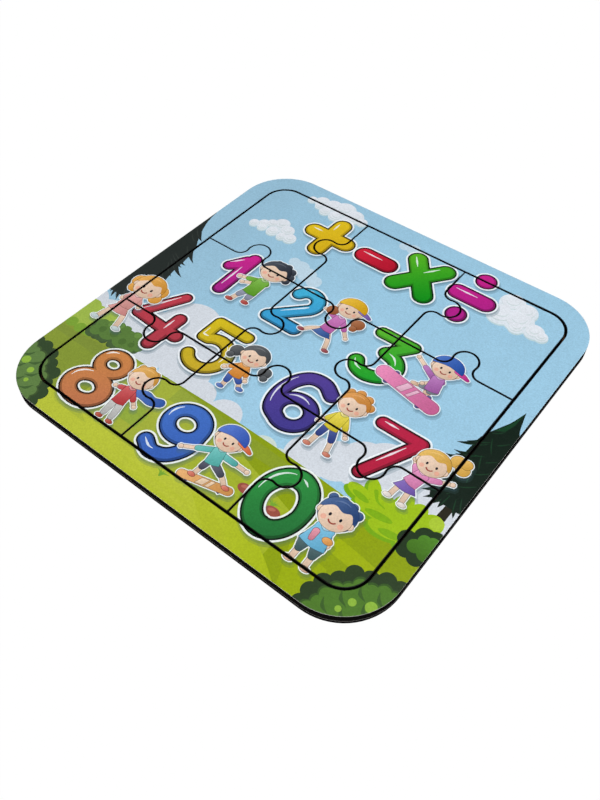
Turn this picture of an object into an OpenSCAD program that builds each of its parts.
// Inset jigsaw puzzle board: nine interlocking pieces in a shallow square tray.
// The tray is a thin base board with a frame ring glued on top of it. The ring and the
// pieces are cut from one sheet of board that carries a laminated print, so each of them
// is a dark-edged core with a thin printed sheet on its face.
// Origin: centre of the tray's underside. +X is the picture's right, +Y its top, +Z is up.

/* [Tray] */
// Width and depth of the square tray
tray_size = 200; // [190:1:230]
// Radius of the tray's four outer corners
tray_corner_r = 26; // [16:1:30]
// Width of the frame band between the tray's edge and the recess
band_w = 11; // [8:0.5:16]
// Radius of the recess's four corners
recess_corner_r = 12.5; // [6:0.5:16]

/* [Layers] */
// Thickness of the base board
base_t = 1.6; // [1.2:0.1:3]
// Thickness of the glue layer that holds the frame ring
glue_t = 0.15; // [0.1:0.05:0.3]
// Distance that the glue layer stays back from the recess
glue_setback = 0.6; // [0.3:0.1:2]
// Thickness of the board that the ring and the pieces are cut from
core_t = 3.7; // [2.5:0.1:5]
// Thickness of the laminated printed sheet
print_t = 0.3; // [0.2:0.05:0.5]

/* [Pieces] */
// Gap between the set of pieces and the recess wall
edge_gap = 1; // [0.6:0.1:1.5]
// Width of the cut between two pieces
kerf = 0.6; // [0.3:0.1:0.8]
// Distance between neighbouring cut lines
cell = 59; // [57:0.5:60]
// Distance of an outer tab's middle from the board's centre line
outer_tab = 60.8; // [59:0.1:64]

/* [Tabs] */
// Radius of a tab's round head
tab_r = 6; // [5:0.1:7]
// Distance of the head's centre from the cut line
tab_rise = 7; // [6:0.1:8]
// Radius of the fillet where a tab leaves the cut line
tab_fillet = 4.6; // [3:0.1:5.5]

/* [Hidden] */

recess_size = tray_size - 2 * band_w;
set_size = recess_size - 2 * edge_gap;
set_corner_r = recess_corner_r - edge_gap;
ring_z = base_t + glue_t;
round_fn = 96;

// Columns and rows count from -1 to 1. The pieces of a checkerboard's odd squares have a
// tab on every inner side, and the even squares have the sockets that take them.
LEFT = -1;
MIDDLE = 0;
RIGHT = 1;
TOP = 1;
BOTTOM = -1;

EDGE_BLACK = [0.07, 0.06, 0.06];
BASE_BLACK = [0.10, 0.09, 0.09];
GLUE_GREY = [0.62, 0.58, 0.52];
SKY_BLUE = [0.60, 0.78, 0.89];
CLOUD_WHITE = [0.86, 0.90, 0.94];
GRASS_GREEN = [0.62, 0.72, 0.16];

function has_tabs(col, row) = abs(col + row) % 2 == 1;
function row_colour(row) = row == TOP ? SKY_BLUE : row == BOTTOM ? GRASS_GREEN : CLOUD_WHITE;

// Square with round corners, centred on the origin
module rounded_square(size, r) {
    square([size, size - 2 * r], center = true);
    square([size - 2 * r, size], center = true);
    for (x = [-1, 1], y = [-1, 1])
        translate([x * (size / 2 - r), y * (size / 2 - r)])
            circle(r, $fn = round_fn);
}

// Tab that points along +Y from a cut line on the X axis, grown all round by `grow`.
// The head and the two fillets are circles that touch, so the outline has no corners.
module tab(grow) {
    head_r = tab_r + grow;
    fillet_r = tab_fillet - grow;
    reach = sqrt(pow(head_r + fillet_r, 2) - pow(tab_rise - tab_fillet, 2));
    touch = fillet_r / (head_r + fillet_r);
    touch_x = reach * (1 - touch);
    touch_y = tab_fillet + (tab_rise - tab_fillet) * touch;
    difference() {
        union() {
            translate([0, tab_rise])
                circle(head_r, $fn = round_fn);
            polygon([[-reach, -kerf], [reach, -kerf], [reach, grow],
                     [touch_x, touch_y], [-touch_x, touch_y], [-reach, grow]]);
        }
        for (side = [-1, 1])
            translate([side * reach, tab_fillet])
                circle(fillet_r, $fn = round_fn);
    }
}

// One tab shape on each inner side of a cell: outward as tabs, or inward as sockets
module side_tabs(col, row, outward) {
    grow = outward ? -kerf / 2 : kerf / 2;
    turn = outward ? 0 : 180;
    for (side = [-1, 1]) {
        if (abs(col + side) <= 1)
            translate([(col + side / 2) * cell, row * outer_tab])
                rotate(turn - side * 90)
                    tab(grow);
        if (abs(row + side) <= 1)
            translate([col * outer_tab, (row + side / 2) * cell])
                rotate(turn + (1 - side) * 90)
                    tab(grow);
    }
}

// Straight-sided cell between the cut lines, before its tabs or sockets
module cell_outline(col, row) {
    half = (cell - kerf) / 2;
    edge = set_size / 2;
    x0 = col == LEFT ? -edge : col * cell - half;
    x1 = col == RIGHT ? edge : col * cell + half;
    y0 = row == BOTTOM ? -edge : row * cell - half;
    y1 = row == TOP ? edge : row * cell + half;
    translate([x0, y0])
        square([x1 - x0, y1 - y0]);
}

module piece_outline(col, row) {
    if (has_tabs(col, row)) {
        cell_outline(col, row);
        side_tabs(col, row, true);
    } else {
        difference() {
            intersection() {
                cell_outline(col, row);
                rounded_square(set_size, set_corner_r);
            }
            side_tabs(col, row, false);
        }
    }
}

// Ring between the tray's outline and an opening of the given size and corner radius
module ring_outline(opening, r) {
    difference() {
        rounded_square(tray_size, tray_corner_r);
        rounded_square(opening, r);
    }
}

module base_board() {
    color(BASE_BLACK)
        linear_extrude(base_t)
            rounded_square(tray_size, tray_corner_r);
}

module glue_layer() {
    color(GLUE_GREY)
        translate([0, 0, base_t])
            linear_extrude(glue_t)
                ring_outline(recess_size + 2 * glue_setback, recess_corner_r + glue_setback);
}

module frame_ring() {
    color(EDGE_BLACK)
        translate([0, 0, ring_z])
            linear_extrude(core_t)
                ring_outline(recess_size, recess_corner_r);
}

module frame_print() {
    color(SKY_BLUE)
        translate([0, 0, ring_z + core_t])
            linear_extrude(print_t)
                ring_outline(recess_size, recess_corner_r);
}

// Board core of one piece, lying on the base board
module piece(col, row) {
    color(EDGE_BLACK)
        translate([0, 0, base_t])
            linear_extrude(core_t)
                piece_outline(col, row);
}

// Printed sheet on the face of one piece
module print(col, row) {
    color(row_colour(row))
        translate([0, 0, base_t + core_t])
            linear_extrude(print_t)
                piece_outline(col, row);
}

base_board();
glue_layer();
frame_ring();
frame_print();
piece(LEFT, TOP);  // piece_top_left
piece(MIDDLE, TOP);  // piece_top_middle
piece(RIGHT, TOP);  // piece_top_right
piece(LEFT, MIDDLE);  // piece_centre_left
piece(MIDDLE, MIDDLE);  // piece_centre
piece(RIGHT, MIDDLE);  // piece_centre_right
piece(LEFT, BOTTOM);  // piece_bottom_left
piece(MIDDLE, BOTTOM);  // piece_bottom_middle
piece(RIGHT, BOTTOM);  // piece_bottom_right
print(LEFT, TOP);  // print_top_left
print(MIDDLE, TOP);  // print_top_middle
print(RIGHT, TOP);  // print_top_right
print(LEFT, MIDDLE);  // print_centre_left
print(MIDDLE, MIDDLE);  // print_centre
print(RIGHT, MIDDLE);  // print_centre_right
print(LEFT, BOTTOM);  // print_bottom_left
print(MIDDLE, BOTTOM);  // print_bottom_middle
print(RIGHT, BOTTOM);  // print_bottom_right
